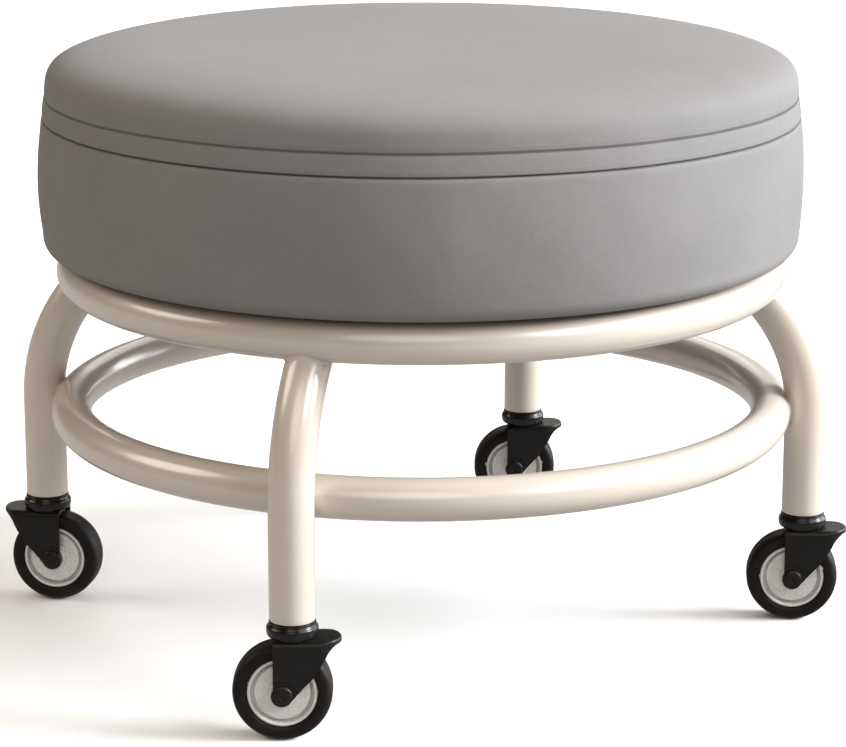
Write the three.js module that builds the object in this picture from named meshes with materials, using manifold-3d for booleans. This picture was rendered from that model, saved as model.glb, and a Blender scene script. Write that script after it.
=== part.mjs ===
// A low round rolling stool: an upholstered disc seat on a ring of steel tube, four bent tube legs
// joined by a second, lower ring, and a small swivel caster under each leg.
// Millimetres, +Z up, origin on the floor under the middle of the seat.
import * as THREE from "three";
import { mergeVertices } from "three/addons/utils/BufferGeometryUtils.js";
import Module from "manifold-3d";

const wasm = await Module();
wasm.setup();

// ---------------------------------------------------------------- driving dimensions
const GAP = 0.3; // between pieces that touch

// frame
const TUBE_WALL = 1.2;
const LEG_TUBE_R = 9.5;
const RING_TUBE_R = 9;
const LEG_CIRCLE_R = 174.6; // leg axes, from the middle of the stool
const LEG_ANGLE = 38.75; // each leg's bearing from the X axis, so the pattern is a rectangle
const LEG_BOTTOM_Z = 50.5;
const LEG_BEND_Z = 97.4; // where the leg starts to bend inwards
const LEG_BEND_R = 78;
const LEG_BEND_END = 48; // degrees of bend at the leg's closed top end, under the upper ring
const UPPER_RING_R = 154.5;
const UPPER_RING_Z = 163;
const LOWER_RING_R = 158.6;
const LOWER_RING_Z = 98.7;
const DRAIN_HOLE_R = 2.5; // lets the wash and the powder out of each closed ring

// seat, from the frame upwards
const DUST_CLOTH = { r: 156, z: UPPER_RING_Z + RING_TUBE_R + GAP, thick: 0.5 };
const COVER_THICK = 1.1;
const HEM = { inner_r: 143, outer_r: 157, z: DUST_CLOTH.z + DUST_CLOTH.thick + GAP };
const SEAT_BOTTOM = { r: 169, z: HEM.z + GAP };
const BOARD = { r: 162, z: SEAT_BOTTOM.z + COVER_THICK + GAP, thick: 12 };
const SEAT_WIDEST_R = 170.6;
const SEAT_CORNER_R = 6.9;
const LOWER_SEAM = { r: 168.4, z: 232.5 };
const UPPER_SEAM = { r: 167.2, z: 241.8 };
const CROWN_TOP_Z = 267.3;
const CROWN_POWER = 3.77; // of the superellipse from the upper seam to the middle
const CROWN_FLAT_R = 45; // the middle is level

// fixing of the seat
const TAB = { length: 32, width: 26, thick: 2.5, top_z: UPPER_RING_Z + RING_TUBE_R };
const TAB_MIDDLE_R = 134.5;
const SCREW = { r: 2.1, head_r: 4.5, head_h: 2.2, tip_z: 184.4 };

// caster: s runs forwards from the swivel axis, the wheel trails behind it
const WHEEL_R = 20.6;
const TRAIL = 4.2;
const TYRE = { width: 14.5, inner_r: 14.7, shoulder: 2.4 };
const RIM = { r: 14.4, boss_r: 5.4, boss_width: 15.2, bore_r: 4, face: 5.8, dish: 4.6 };
const BUSH = { inner_r: 2.85, outer_r: 3.7, length: 16 };
const AXLE = { r: 2.5, head_r: 4.5, head_h: 1.4 }; // a rivet with a head on both sides
const PLATE = 1.5; // sheet the fork is pressed from
const FORK_HALF_W = 9.8;
const FORK_REAR_S = -7.8;
const FORK_NOSE_S = 10.3; // middle of the rounded nose
const FORK_BOSS_R = 4.6; // round the axle
const CROWN_Z = 43.5; // top of the fork's crown
const SHOULDER = 1.4; // chamfer between the crown and the cheeks
const DIMPLE = { r: 5.9, pocket_r: 4.8, rise: 1.5 };
const BALLS = { pitch_r: 8, r: 1.35 };
const CAP = { r: 11, inner_r: 9.75, bottom_z: 43.9, ceiling_z: 46.8, top_z: 49.3 };
const SOCKET = { flange_r: 9.8, flange_z: 49.6, body_r: 7.7, bore_r: 4.4, top_z: 79.4 };
const STEM_R = 4;
const STEM_TOP_Z = 76.4;
const KING_PIN_R = 3;

// facets
const RING_SEGMENTS = 40;
const RING_SIDES = 10;
const LEG_SIDES = 12;
const LEG_STEPS = 8;
const SEAT_SEGMENTS = 40;
const TYRE_SEGMENTS = 24;
const RIM_SEGMENTS = 16;
const CAP_SEGMENTS = 16;
const SMALL_SEGMENTS = 8;

// which way each caster points, in degrees about +Z from the X axis
const CORNERS = [
  { name: "front_left", bearing: 180 + LEG_ANGLE, heading: -33.8 },
  { name: "front_right", bearing: -LEG_ANGLE, heading: -38.5 },
  { name: "back_right", bearing: LEG_ANGLE, heading: -35 },
  { name: "back_left", bearing: 180 - LEG_ANGLE, heading: 136 },
];

// ---------------------------------------------------------------- materials
function finish(color, roughness, metalness) {
  return new THREE.MeshStandardMaterial({ color, roughness, metalness });
}
const MATERIALS = {
  paint: finish(0xd9cdbf, 0.35, 0.1),
  leather: finish(0x8e8b8a, 0.5, 0),
  foam: finish(0xe6dcc0, 0.95, 0),
  plywood: finish(0xc9a878, 0.8, 0),
  dust_cloth: finish(0x222222, 0.95, 0),
  steel: finish(0xb8b8ba, 0.3, 1),
  black_steel: finish(0x1b1a19, 0.45, 0.3),
  gloss_black: finish(0x0e0d0d, 0.2, 0),
  matte_black: finish(0x1a1a1a, 0.7, 0),
  rubber: finish(0x191614, 0.75, 0),
  rim: finish(0xd4d2ce, 0.4, 0.2),
};

// ---------------------------------------------------------------- helpers
const radians = THREE.MathUtils.degToRad;
const UP = new THREE.Vector3(0, 0, 1);

function solid(geometry) {
  const bare = geometry.clone();
  bare.deleteAttribute("normal");
  bare.deleteAttribute("uv");
  const merged = mergeVertices(bare, 1e-4);
  return new wasm.Manifold(
    new wasm.Mesh({
      numProp: 3,
      vertProperties: merged.attributes.position.array,
      triVerts: new Uint32Array(merged.index.array),
    }),
  );
}

function geometryOf(made) {
  const mesh = made.getMesh();
  const geometry = new THREE.BufferGeometry();
  geometry.setAttribute("position", new THREE.BufferAttribute(new Float32Array(mesh.vertProperties), 3));
  geometry.setIndex(new THREE.BufferAttribute(new Uint32Array(mesh.triVerts), 1));
  geometry.computeVertexNormals();
  return geometry;
}

// A body turned about +Z from [radius, height] points that run up its outer side.
function turned(points, segments) {
  const profile = points.map(([r, z]) => new THREE.Vector2(r, z));
  return new THREE.LatheGeometry(profile, segments).rotateX(Math.PI / 2);
}

function cylinder(radius, z0, z1, segments) {
  return turned([[0, z0], [radius, z0], [radius, z1], [0, z1]], segments);
}

function tube(inner, outer, z0, z1, segments) {
  return turned([[inner, z0], [outer, z0], [outer, z1], [inner, z1], [inner, z0]], segments);
}

function box(sx, sy, sz, x, y, z) {
  return new THREE.BoxGeometry(sx, sy, sz).translate(x, y, z);
}

function torus(ringR, tubeR, z, segments, sides) {
  const points = [];
  for (let i = 0; i <= sides; i++) {
    const a = (2 * Math.PI * (i % sides)) / sides;
    points.push([ringR + tubeR * Math.cos(a), z + tubeR * Math.sin(a)]);
  }
  return turned(points, segments);
}

const group = new THREE.Group();

function add(name, geometry, material, parent = group) {
  const mesh = new THREE.Mesh(geometry, material);
  mesh.name = name;
  parent.add(mesh);
  return mesh;
}

// ---------------------------------------------------------------- frame
function ringTube(ringR, z) {
  const outside = solid(torus(ringR, RING_TUBE_R, z, RING_SEGMENTS, RING_SIDES));
  const inside = solid(torus(ringR, RING_TUBE_R - TUBE_WALL, z, RING_SEGMENTS, RING_SIDES / 2));
  const drain = solid(cylinder(DRAIN_HOLE_R, z - RING_TUBE_R - 1, z, 6).translate(0, -ringR, 0));
  return geometryOf(outside.subtract(inside).subtract(drain));
}

// Straight up from the leg's bottom end, then round the bend towards the middle of the stool.
// The curve runs past the bottom end by below and past the top end by above.
class LegAxis extends THREE.Curve {
  constructor(below, above) {
    super();
    this.straight = LEG_BEND_Z - LEG_BOTTOM_Z + below;
    this.bend = LEG_BEND_R * radians(LEG_BEND_END) + above;
  }
  getPoint(t) {
    const along = t * (this.straight + this.bend) - this.straight;
    if (along <= 0) return new THREE.Vector3(LEG_CIRCLE_R, 0, LEG_BEND_Z + along);
    const a = along / LEG_BEND_R;
    return new THREE.Vector3(
      LEG_CIRCLE_R - LEG_BEND_R * (1 - Math.cos(a)),
      0,
      LEG_BEND_Z + LEG_BEND_R * Math.sin(a),
    );
  }
}

function legBar(radius, below, above) {
  const sides = LEG_SIDES;
  const section = new THREE.Shape();
  for (let i = 0; i < sides; i++) {
    const a = (2 * Math.PI * i) / sides;
    section[i ? "lineTo" : "moveTo"](radius * Math.cos(a), radius * Math.sin(a));
  }
  const extrudePath = new LegAxis(below, above);
  return new THREE.ExtrudeGeometry(section, { steps: LEG_STEPS, bevelEnabled: false, extrudePath });
}

function legTube(bearing) {
  const turn = (geometry) => solid(geometry.rotateZ(radians(bearing)));
  const cope = (ringR, z) => solid(torus(ringR, RING_TUBE_R + GAP, z, RING_SEGMENTS, RING_SIDES));
  return geometryOf(
    turn(legBar(LEG_TUBE_R, 0, 0))
      .subtract(turn(legBar(LEG_TUBE_R - TUBE_WALL, 2, -TUBE_WALL)))
      .subtract(cope(UPPER_RING_R, UPPER_RING_Z))
      .subtract(cope(LOWER_RING_R, LOWER_RING_Z)),
  );
}

add("upper_ring", ringTube(UPPER_RING_R, UPPER_RING_Z), MATERIALS.paint);
add("lower_ring", ringTube(LOWER_RING_R, LOWER_RING_Z), MATERIALS.paint);
for (const corner of CORNERS) add("leg_" + corner.name, legTube(corner.bearing), MATERIALS.paint);

// ---------------------------------------------------------------- seat
// The outer line of the upholstery from beside the hem to the lower seam, pulled in by inset.
function sideLine(inset) {
  const points = [[HEM.outer_r + GAP, SEAT_BOTTOM.z + inset]];
  const cornerSteps = 3;
  const corner = { r: SEAT_BOTTOM.r - SEAT_CORNER_R, z: SEAT_BOTTOM.z + SEAT_CORNER_R };
  for (let i = 0; i <= cornerSteps; i++) {
    const a = ((Math.PI / 2) * i) / cornerSteps;
    const r = SEAT_CORNER_R - inset;
    points.push([corner.r + r * Math.sin(a), corner.z - r * Math.cos(a)]);
  }
  const bulge = SEAT_WIDEST_R - (SEAT_BOTTOM.r + LOWER_SEAM.r) / 2;
  const sideSteps = 4;
  for (let i = 1; i <= sideSteps; i++) {
    const t = i / sideSteps;
    const chord = THREE.MathUtils.lerp(SEAT_BOTTOM.r, LOWER_SEAM.r, t);
    points.push([
      chord + 4 * bulge * t * (1 - t) - inset,
      THREE.MathUtils.lerp(corner.z, LOWER_SEAM.z - GAP / 2, t),
    ]);
  }
  return points;
}

// The outer line of the top panel, from the upper seam to the axis, pulled in by inset.
function crownLine(inset) {
  const points = [];
  const steps = 6;
  const r = UPPER_SEAM.r - inset;
  const rise = CROWN_TOP_Z - UPPER_SEAM.z - GAP / 2 - inset;
  for (let i = 0; i <= steps; i++) {
    const a = ((Math.PI / 2) * i) / steps;
    const power = 2 / CROWN_POWER;
    points.push([
      Math.max(r * Math.cos(a) ** power, i === steps ? 0 : CROWN_FLAT_R),
      UPPER_SEAM.z + GAP / 2 + rise * Math.sin(a) ** power,
    ]);
  }
  points[steps - 1][1] = points[steps][1];
  return points;
}

function coverSide() {
  const outer = sideLine(0);
  const inner = sideLine(COVER_THICK).reverse();
  return turned([...outer, ...inner, outer[0]], SEAT_SEGMENTS);
}

// The edge of the cover that is turned under the board and stapled to it.
function coverHem() {
  return tube(HEM.inner_r, HEM.outer_r, HEM.z, HEM.z + COVER_THICK, SEAT_SEGMENTS);
}

function coverBand() {
  const z0 = LOWER_SEAM.z + GAP / 2;
  const z1 = UPPER_SEAM.z - GAP / 2;
  return turned(
    [
      [LOWER_SEAM.r - COVER_THICK, z0],
      [LOWER_SEAM.r, z0],
      [UPPER_SEAM.r, z1],
      [UPPER_SEAM.r - COVER_THICK, z1],
      [LOWER_SEAM.r - COVER_THICK, z0],
    ],
    SEAT_SEGMENTS,
  );
}

function coverTop() {
  const outer = crownLine(0);
  const inner = crownLine(COVER_THICK).reverse();
  return turned([...outer, ...inner, outer[0]], SEAT_SEGMENTS);
}

// The foam fills the cover over the board and round its edge, a gap inside the cover.
function foamPad() {
  const inset = COVER_THICK + GAP;
  const boardTop = BOARD.z + BOARD.thick + GAP;
  const edge = BOARD.r + GAP;
  const side = sideLine(inset).filter(([r, z]) => r > edge && z > BOARD.z + GAP);
  const crown = crownLine(inset + GAP);
  return turned([[0, boardTop], [edge, boardTop], [edge, side[0][1]], ...side, ...crown], SEAT_SEGMENTS);
}

const SCREW_BEARINGS = [0, 90, 180, 270];
const SCREW_NAMES = ["right", "back", "left", "front"];

function screwHoles(made) {
  return SCREW_BEARINGS.reduce((body, bearing) => {
    const hole = cylinder(SCREW.r + GAP, TAB.top_z - 10, SCREW.tip_z + GAP, 8);
    return body.subtract(solid(hole.translate(TAB_MIDDLE_R, 0, 0).rotateZ(radians(bearing))));
  }, made);
}

function seatBoard() {
  return geometryOf(screwHoles(solid(cylinder(BOARD.r, BOARD.z, BOARD.z + BOARD.thick, SEAT_SEGMENTS))));
}

function dustCloth() {
  const sheet = cylinder(DUST_CLOTH.r, DUST_CLOTH.z, DUST_CLOTH.z + DUST_CLOTH.thick, SEAT_SEGMENTS);
  return geometryOf(screwHoles(solid(sheet)));
}

function mountTab(bearing) {
  const plate = box(TAB.length, TAB.width, TAB.thick, TAB_MIDDLE_R, 0, TAB.top_z - TAB.thick / 2);
  const cope = torus(UPPER_RING_R, RING_TUBE_R + GAP, UPPER_RING_Z, RING_SEGMENTS, RING_SIDES);
  const hole = cylinder(SCREW.r + GAP, TAB.top_z - 10, TAB.top_z + 10, 8).translate(TAB_MIDDLE_R, 0, 0);
  return geometryOf(
    solid(plate.rotateZ(radians(bearing)))
      .subtract(solid(cope))
      .subtract(solid(hole.rotateZ(radians(bearing)))),
  );
}

function seatScrew() {
  const under = TAB.top_z - TAB.thick - GAP;
  return turned(
    [
      [0, under - SCREW.head_h],
      [SCREW.head_r * 0.6, under - SCREW.head_h],
      [SCREW.head_r, under - SCREW.head_h * 0.4],
      [SCREW.head_r, under],
      [SCREW.r, under],
      [SCREW.r, SCREW.tip_z - 3],
      [0, SCREW.tip_z],
    ],
    8,
  ).translate(TAB_MIDDLE_R, 0, 0);
}

add("cover_top_panel", coverTop(), MATERIALS.leather);
add("cover_welt_band", coverBand(), MATERIALS.leather);
add("cover_side_panel", coverSide(), MATERIALS.leather);
add("cover_hem", coverHem(), MATERIALS.leather);
add("seat_foam", foamPad(), MATERIALS.foam);
add("seat_board", seatBoard(), MATERIALS.plywood);
add("dust_cloth", dustCloth(), MATERIALS.dust_cloth);
SCREW_BEARINGS.forEach((bearing, i) => {
  add("seat_tab_" + SCREW_NAMES[i], mountTab(bearing), MATERIALS.paint);
  add("seat_screw_" + SCREW_NAMES[i], seatScrew().rotateZ(radians(bearing)), MATERIALS.steel);
});

// ---------------------------------------------------------------- casters
// Each piece is made with the swivel axis on Z and the nose towards +X, then turned to its heading.
function legSocket() {
  const { flange_r, flange_z, body_r, bore_r, top_z } = SOCKET;
  const flangeTop = LEG_BOTTOM_Z - GAP;
  return turned(
    [
      [bore_r, flange_z],
      [flange_r, flange_z],
      [flange_r, flangeTop],
      [body_r, flangeTop],
      [body_r, top_z],
      [bore_r, top_z],
      [bore_r, flange_z],
    ],
    SMALL_SEGMENTS,
  );
}

function casterStem() {
  const headTop = CROWN_Z - GAP;
  const flange = { r: 5.6, z0: CROWN_Z + DIMPLE.rise + GAP, z1: CAP.ceiling_z - GAP };
  return turned(
    [
      [0, headTop - 1.1],
      [4.4, headTop - 1.1],
      [4.4, headTop],
      [KING_PIN_R, headTop],
      [KING_PIN_R, flange.z0],
      [flange.r, flange.z0],
      [flange.r, flange.z1],
      [STEM_R, flange.z1],
      [STEM_R, STEM_TOP_Z],
      [0, STEM_TOP_Z],
    ],
    SMALL_SEGMENTS,
  );
}

function raceCap() {
  const { r, inner_r, bottom_z, ceiling_z, top_z } = CAP;
  const hole = STEM_R + GAP;
  return turned(
    [
      [inner_r, bottom_z],
      [r - 0.8, bottom_z],
      [r, bottom_z + 1.2],
      [r, bottom_z + 2.8],
      [r - 1.4, top_z],
      [hole, top_z],
      [hole, ceiling_z],
      [inner_r, ceiling_z],
      [inner_r, bottom_z],
    ],
    CAP_SEGMENTS,
  );
}

function ballRing() {
  return torus(BALLS.pitch_r, BALLS.r, CROWN_Z + GAP + BALLS.r, 12, 4);
}

// The fork seen from above: square at the back, round at the nose.
function forkPlan(inset) {
  const half = FORK_HALF_W - inset;
  const outline = new THREE.Shape();
  outline.moveTo(FORK_REAR_S - (inset ? 4 : 0), -half);
  outline.lineTo(FORK_NOSE_S, -half);
  outline.absarc(FORK_NOSE_S, 0, half, -Math.PI / 2, Math.PI / 2, false);
  outline.lineTo(FORK_REAR_S - (inset ? 4 : 0), half);
  outline.closePath();
  return outline;
}

function extrudePlan(shape, z0, z1, curveSegments) {
  const made = new THREE.ExtrudeGeometry(shape, { depth: z1 - z0, bevelEnabled: false, curveSegments });
  return made.translate(0, 0, z0);
}

// The fork seen from the side: upright at the back, round at the axle, raked up to the nose.
function forkSide() {
  const top = CROWN_Z + 4;
  const nose = FORK_NOSE_S + FORK_HALF_W + 1;
  const outline = new THREE.Shape();
  outline.moveTo(nose, top);
  outline.lineTo(FORK_REAR_S, top);
  outline.lineTo(FORK_REAR_S, WHEEL_R + 4);
  outline.absarc(-TRAIL, WHEEL_R, FORK_BOSS_R, radians(165), radians(325), false);
  outline.lineTo(4.2, WHEEL_R + 2.9);
  outline.lineTo(8.7, WHEEL_R + 7.6);
  outline.lineTo(13.6, CROWN_Z - 7.3);
  outline.quadraticCurveTo(15, CROWN_Z - 3.6, 18, CROWN_Z - 2);
  outline.lineTo(nose, CROWN_Z - 1.2);
  outline.closePath();
  return outline;
}

function extrudeSide(shape, halfWidth) {
  const depth = 2 * halfWidth;
  const made = new THREE.ExtrudeGeometry(shape, { depth, bevelEnabled: false, curveSegments: 5 });
  return made.rotateX(Math.PI / 2).translate(0, halfWidth, 0);
}

function crosswise(radius, halfLength, segments) {
  return cylinder(radius, -halfLength, halfLength, segments).rotateX(Math.PI / 2);
}

const FORK = (() => {
  const arcs = 7;
  const underCrown = CROWN_Z - PLATE;
  const cheeks = solid(extrudePlan(forkPlan(0), 5, CROWN_Z - SHOULDER, arcs));
  const crown = solid(extrudePlan(forkPlan(SHOULDER), CROWN_Z - 1, CROWN_Z, arcs));
  const dimple = solid(cylinder(DIMPLE.r, CROWN_Z - 1, CROWN_Z + DIMPLE.rise, SMALL_SEGMENTS));
  const pocket = solid(cylinder(DIMPLE.pocket_r, underCrown - 1, underCrown + DIMPLE.rise, SMALL_SEGMENTS));
  const pinHole = solid(cylinder(KING_PIN_R + GAP, 30, 60, SMALL_SEGMENTS));
  const axleHole = solid(crosswise(AXLE.r + GAP, 20, SMALL_SEGMENTS).translate(-TRAIL, 0, WHEEL_R));
  return wasm.Manifold.hull([cheeks, crown])
    .add(dimple)
    .subtract(solid(extrudePlan(forkPlan(PLATE), 0, underCrown, arcs)))
    .intersect(solid(extrudeSide(forkSide(), 20)))
    .subtract(pocket)
    .subtract(pinHole)
    .subtract(axleHole);
})();

// The wheel's pieces are turned about Z, then laid over so that their axis runs across the fork.
function tyre() {
  const { width, inner_r, shoulder } = TYRE;
  const half = width / 2;
  const outer = WHEEL_R / Math.cos(Math.PI / TYRE_SEGMENTS); // the flats, not the corners, touch the floor
  return turned(
    [
      [inner_r, -half],
      [outer - shoulder, -half],
      [outer, -half + shoulder],
      [outer, half - shoulder],
      [outer - shoulder, half],
      [inner_r, half],
      [inner_r, -half],
    ],
    TYRE_SEGMENTS,
  ).rotateZ(Math.PI / TYRE_SEGMENTS);
}

function rim() {
  const { r, boss_r, boss_width, bore_r, face, dish } = RIM;
  return turned(
    [
      [bore_r, -boss_width / 2],
      [boss_r, -boss_width / 2],
      [boss_r, -dish],
      [r - 2.2, -dish],
      [r - 2.2, -face],
      [r, -face],
      [r, face],
      [r - 2.2, face],
      [r - 2.2, dish],
      [boss_r, dish],
      [boss_r, boss_width / 2],
      [bore_r, boss_width / 2],
      [bore_r, -boss_width / 2],
    ],
    RIM_SEGMENTS,
  );
}

const laid = (geometry) => geometry.rotateX(Math.PI / 2).translate(-TRAIL, 0, WHEEL_R);

function axleRivet() {
  const { r, head_r, head_h } = AXLE;
  const inner = FORK_HALF_W + GAP;
  const outer = inner + head_h;
  return turned(
    [
      [0, -outer],
      [head_r - 0.8, -outer],
      [head_r, -outer + 0.7],
      [head_r, -inner],
      [r, -inner],
      [r, inner],
      [head_r, inner],
      [head_r, outer - 0.7],
      [head_r - 0.8, outer],
      [0, outer],
    ],
    12,
  );
}

function axleBush() {
  const half = BUSH.length / 2;
  return tube(BUSH.inner_r, BUSH.outer_r, -half, half, SMALL_SEGMENTS);
}

for (const { name, bearing, heading } of CORNERS) {
  const caster = new THREE.Group();
  caster.position.set(LEG_CIRCLE_R, 0, 0).applyAxisAngle(UP, radians(bearing));
  caster.rotation.z = radians(heading);
  group.add(caster);
  add("leg_socket_" + name, legSocket(), MATERIALS.matte_black, caster);
  add("caster_stem_" + name, casterStem(), MATERIALS.steel, caster);
  add("race_cap_" + name, raceCap(), MATERIALS.gloss_black, caster);
  add("ball_ring_" + name, ballRing(), MATERIALS.steel, caster);
  add("fork_" + name, geometryOf(FORK), MATERIALS.black_steel, caster);
  add("axle_rivet_" + name, laid(axleRivet()), MATERIALS.black_steel, caster);
  add("axle_bush_" + name, laid(axleBush()), MATERIALS.steel, caster);
  add("rim_" + name, laid(rim()), MATERIALS.rim, caster);
  add("tyre_" + name, laid(tyre()), MATERIALS.rubber, caster);
}

export default group;
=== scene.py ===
import math

import bmesh
import bpy
import numpy as np
from mathutils import Matrix, Vector, noise


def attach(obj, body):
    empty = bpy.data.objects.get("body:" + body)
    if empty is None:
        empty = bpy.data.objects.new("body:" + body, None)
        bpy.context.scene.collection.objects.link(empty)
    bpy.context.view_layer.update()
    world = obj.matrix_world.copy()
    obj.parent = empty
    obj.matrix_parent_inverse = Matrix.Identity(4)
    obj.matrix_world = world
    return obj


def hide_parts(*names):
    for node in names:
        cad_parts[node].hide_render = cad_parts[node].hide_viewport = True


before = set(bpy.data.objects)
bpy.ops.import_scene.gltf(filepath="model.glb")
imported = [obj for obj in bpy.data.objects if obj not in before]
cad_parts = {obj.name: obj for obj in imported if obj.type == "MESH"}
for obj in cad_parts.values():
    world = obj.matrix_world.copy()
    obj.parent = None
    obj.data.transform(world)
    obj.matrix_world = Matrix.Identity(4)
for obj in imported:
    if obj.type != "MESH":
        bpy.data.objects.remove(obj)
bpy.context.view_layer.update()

MM = 0.001
TAU = 2 * math.pi

# ------------------------------------------------------------------ sizes, as in the CAD
GAP = 0.3
LEG_R, RING_R, WALL = 9.5, 9.0, 1.2
LEG_CIRCLE, LEG_ANGLE = 174.6, 38.75
LEG_BOTTOM, BEND_Z, BEND_R, BEND_END = 50.5, 97.4, 78.0, 48.0
UPPER_RING = (154.5, 163.0)  # each ring's radius and height
LOWER_RING = (158.6, 98.7)
HEM_Z, HEM_INNER, HEM_OUTER = 173.1, 143.0, 157.0
SEAT_CORNER = (162.1, 180.3, 6.9)  # the radius and height of its middle, and its rounding
LOWER_SEAM, UPPER_SEAM = (168.4, 232.5), (167.2, 241.8)  # radius and height
SEAT_WIDEST, SEAT_WIDEST_Z = 170.6, 205.0
CROWN_TOP, CROWN_POWER = 267.3, 3.77
CLOTH = (156.0, 172.3, 0.5)  # the dust cloth's radius, underside and thickness
WHEEL_R, TRAIL = 20.6, 4.2
FORK_HALF, FORK_REAR, FORK_NOSE, FORK_BOSS = 9.8, -7.8, 10.3, 4.6
PLATE, CROWN_Z, SHOULDER = 1.5, 43.5, 2.6
DIMPLE_R, POCKET_R, DIMPLE_RISE = 5.9, 4.8, 1.5
KING_PIN_R, AXLE_R = 3.0, 2.5
TAB_CIRCLE, STAPLE_CIRCLE = 134.5, 141.0
CORNERS = {  # each leg's bearing and its caster's heading, in degrees
    "front_left": (180 + LEG_ANGLE, -33.8),
    "front_right": (-LEG_ANGLE, -38.5),
    "back_right": (LEG_ANGLE, -35),
    "back_left": (180 - LEG_ANGLE, 136),
}

# ------------------------------------------------------------------ camera
CAMERA_AZIMUTH, CAMERA_ELEVATION, CAMERA_DISTANCE = -33.8, 14.235, 1360.0
CAMERA_TARGET_Z, CAMERA_LENS = 111.2, 126.93
CAMERA_SHIFT = 0.002364  # sideways, as a share of the picture's width


def make_camera():
    """The photograph's camera, aimed above the middle of the stool."""
    data = bpy.data.cameras.new("camera")
    data.lens, data.sensor_width = CAMERA_LENS, 36
    data.shift_x = CAMERA_SHIFT
    camera = bpy.data.objects.new("camera", data)
    bpy.context.scene.collection.objects.link(camera)
    a, e = math.radians(CAMERA_AZIMUTH), math.radians(CAMERA_ELEVATION)
    back = Vector((math.sin(a) * math.cos(e), -math.cos(a) * math.cos(e), math.sin(e)))
    camera.location = (Vector((0, 0, CAMERA_TARGET_Z)) + back * CAMERA_DISTANCE) * MM
    camera.rotation_euler = (-back).to_track_quat("-Z", "Y").to_euler()
    bpy.context.scene.camera = camera


make_camera()


# ------------------------------------------------------------------ materials
class Nodes:
    """A node material: tree.add("TYPE", input=value or socket, ...) returns the node."""

    def __init__(self, name):
        self.material = bpy.data.materials.new(name)
        self.material.use_nodes = True
        self.tree = self.material.node_tree
        self.tree.nodes.clear()
        self.out = self.tree.nodes.new("ShaderNodeOutputMaterial")
        self.bsdf = self.tree.nodes.new("ShaderNodeBsdfPrincipled")
        self.tree.links.new(self.bsdf.outputs[0], self.out.inputs[0])

    def add(self, kind, props=None, **inputs):
        node = self.tree.nodes.new("ShaderNode" + kind)
        for key, value in (props or {}).items():
            setattr(node, key, value)
        for key, value in inputs.items():
            self.put(node, key, value)
        return node

    def put(self, node, key, value):
        """Sets an input by its name, or by its number as in i6, or links a node or a socket to it."""
        names = {s.name.lower().replace(" ", "_"): s for s in node.inputs if s.enabled}
        socket = node.inputs[int(key[1:])] if key[0] == "i" and key[1:].isdigit() else names[key]
        if isinstance(value, bpy.types.NodeSocket):
            self.tree.links.new(value, socket)
        elif isinstance(value, bpy.types.Node):
            self.tree.links.new(value.outputs[0], socket)
        else:
            socket.default_value = value

    def shader(self, **inputs):
        for key, value in inputs.items():
            self.put(self.bsdf, key, value)

    def coords(self):
        return self.add("TexCoord").outputs["Object"]

    def noise(self, scale, detail=3.0, roughness=0.5, vector=None, distortion=0.0):
        node = self.add("TexNoise", vector=vector or self.coords(), scale=scale, detail=detail)
        self.put(node, "roughness", roughness)
        self.put(node, "distortion", distortion)
        return node.outputs["Fac"]

    def ramp(self, factor, stops):
        node = self.add("ValToRGB", fac=factor)
        elements = node.color_ramp.elements
        while len(elements) < len(stops):
            elements.new(0.5)
        for element, (place, value) in zip(elements, stops):
            element.position = place
            element.color = value if len(value) == 4 else (*value, 1)
        return node.outputs["Color"]

    def spread(self, factor, low, high):
        """A number from low to high as factor goes from 0 to 1."""
        node = self.add("MapRange", value=factor, to_min=low, to_max=high)
        return node.outputs[0]

    def maths(self, operation, a, b=0.0):
        return self.add("Math", {"operation": operation}, i0=a, i1=b).outputs[0]

    def darkened(self, colour, mask, keep):
        """A colour multiplied down to keep of itself where the mask is one."""
        factor = self.spread(mask, 1.0, keep)
        node = self.add("Mix", {"data_type": "RGBA", "blend_type": "MULTIPLY"}, i0=1.0, i6=colour, i7=factor)
        return node.outputs[2]

    def bump(self, height, strength, distance, normal=None):
        node = self.add("Bump", height=height, strength=strength, distance=distance)
        if normal is not None:
            self.put(node, "normal", normal)
        return node.outputs[0]


def grey(v):
    """A colour with all three parts the same."""
    return (v, v, v)


# The darkest and the lightest of each material's cloudy colour, as linear light.
PAINT_DARK, PAINT_LIGHT = (0.603, 0.533, 0.458), (0.643, 0.573, 0.497)
LEATHER_DARK, LEATHER_LIGHT = (0.207, 0.2005, 0.198), (0.246, 0.2385, 0.235)
STEEL_DARK, STEEL_LIGHT = (0.0060, 0.0054, 0.0048), (0.0105, 0.0096, 0.0086)
TYRE_DARK, TYRE_LIGHT = (0.0075, 0.0055, 0.0048), (0.0150, 0.0118, 0.0104)
HUB_DARK, HUB_LIGHT = (0.66, 0.655, 0.64), (0.86, 0.855, 0.84)
PLY_DARK, PLY_LIGHT = (0.42, 0.27, 0.14), (0.62, 0.45, 0.27)
PLY_PITCH = 0.0024  # two plies, in metres
SEAM_PAINTED_SHADE = 0.5  # how much of the cover's colour is left where shade is painted into the fold of a seam


def paint_material():
    """Cream powder coat: a gloss film with a fine orange peel."""
    m = Nodes("powder_coat")
    cloud = m.noise(9, 2)
    colour = m.ramp(cloud, [(0.3, PAINT_DARK), (0.7, PAINT_LIGHT)])
    peel = m.noise(520, 2, 0.5)
    fine = m.noise(1900, 1)
    first = m.bump(peel, 0.02, 0.0004)
    m.shader(
        base_color=colour,
        roughness=m.spread(m.noise(35, 3), 0.26, 0.34),
        normal=m.bump(fine, 0.01, 0.0001, first),
        specular_ior_level=0.9,
        coat_weight=0.7,
        coat_roughness=0.13,
    )
    return m.material


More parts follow.
